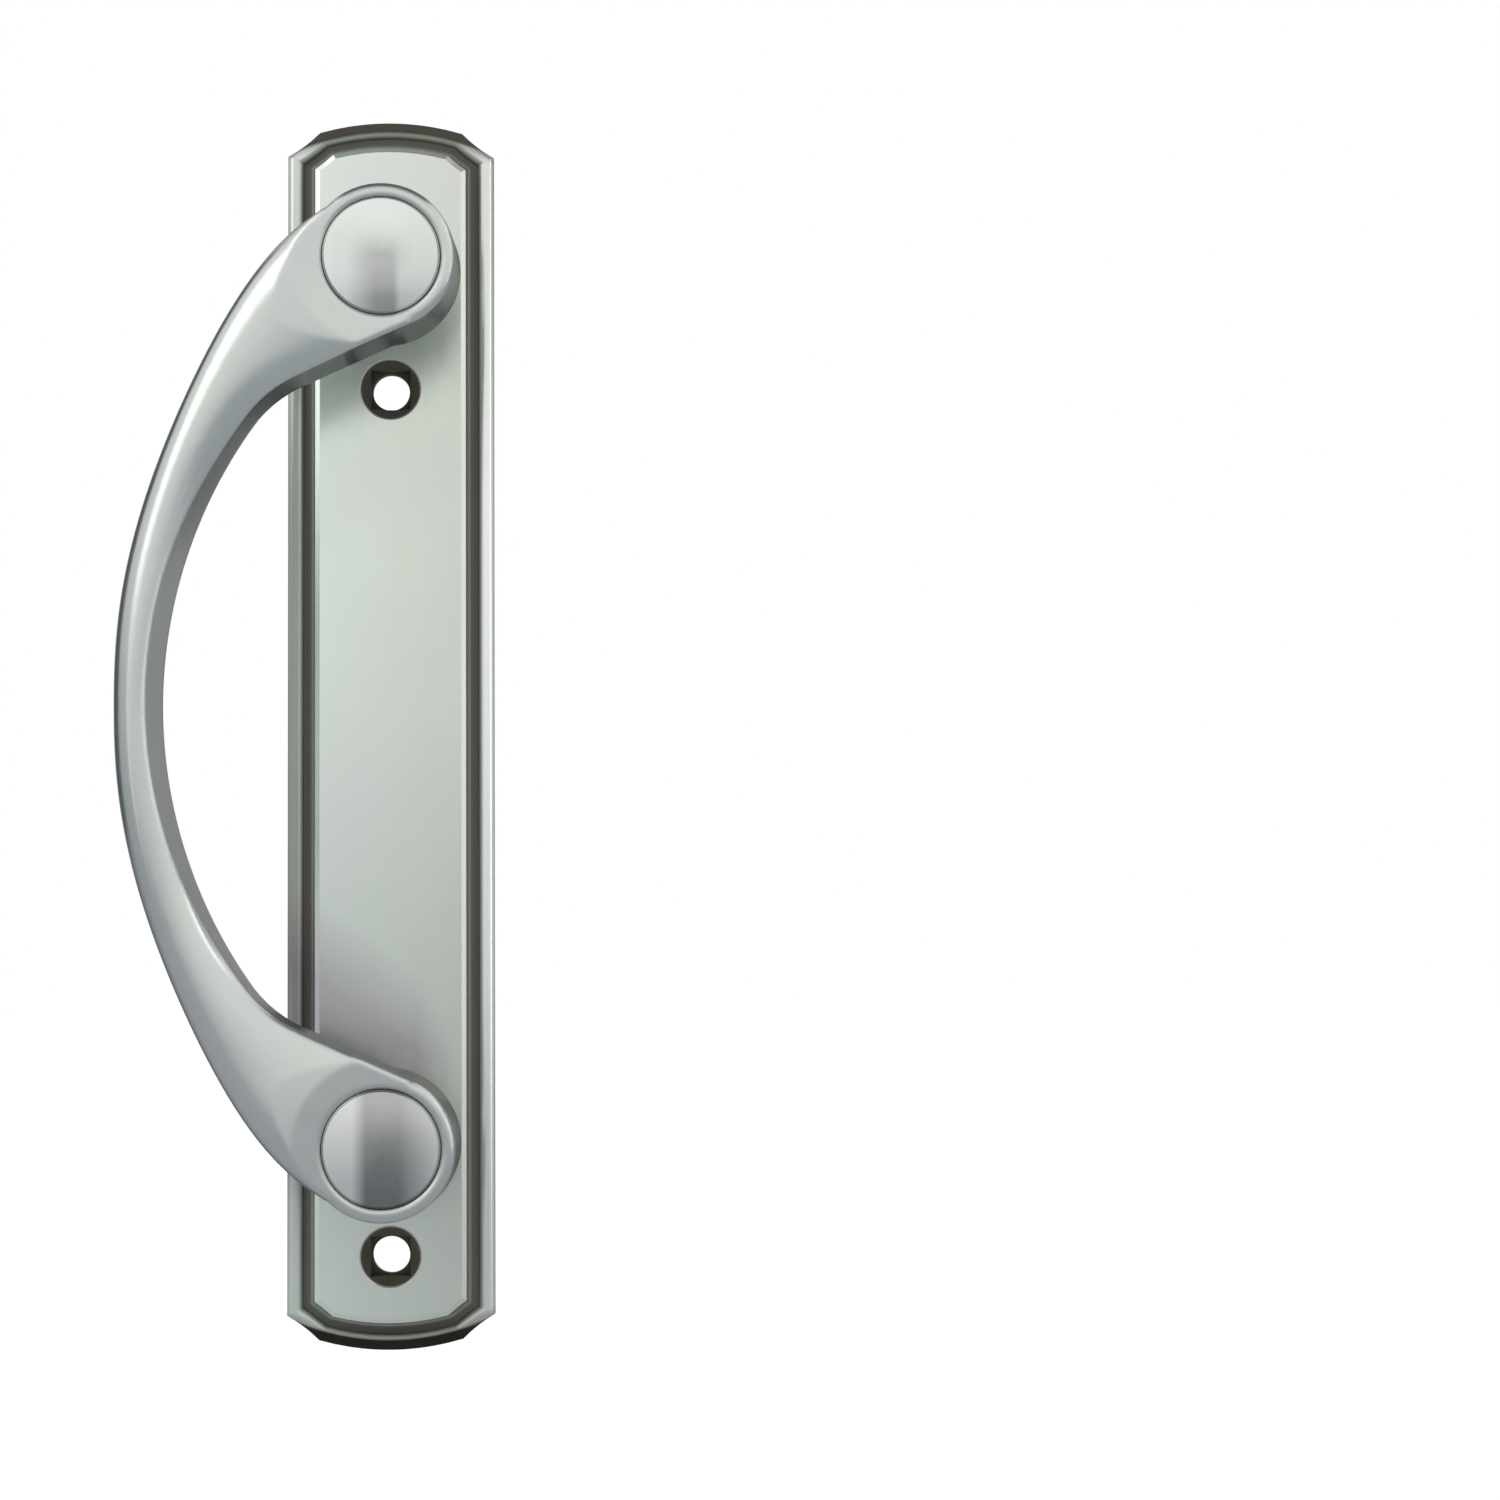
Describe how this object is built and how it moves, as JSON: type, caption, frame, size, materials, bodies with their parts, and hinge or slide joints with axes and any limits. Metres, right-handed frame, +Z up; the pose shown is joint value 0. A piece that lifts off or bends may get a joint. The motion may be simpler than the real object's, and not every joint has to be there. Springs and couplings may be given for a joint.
{
  "type": "sliding patio door handle",
  "caption": "Crescent bow pull on a long moulded plate, with round caps over its leg screws, for a sliding patio door.",
  "frame": {"origin": "centre of the plate's back face, where it lies on the door", "axes": "+Z up along the plate, +X to the right as seen from the hand's side, +Y into the door; the bow stands out to -Y and -X"},
  "size_m": [0.0769, 0.0499, 0.2628],
  "materials": {
    "plate_nickel": "satin nickel plate",
    "bow_nickel": "satin nickel plate",
    "cap_nickel": "turned satin nickel plate",
    "screw_steel": "zinc-plated steel"
  },
  "bodies": {
    "root": {"backplate": "plate_nickel", "bow_handle": "bow_nickel", "top_cap": "cap_nickel", "bottom_cap": "cap_nickel", "top_leg_screw": "screw_steel", "bottom_leg_screw": "screw_steel", "top_lock_washer": "screw_steel", "bottom_lock_washer": "screw_steel"}
  },
  "joints": []
}
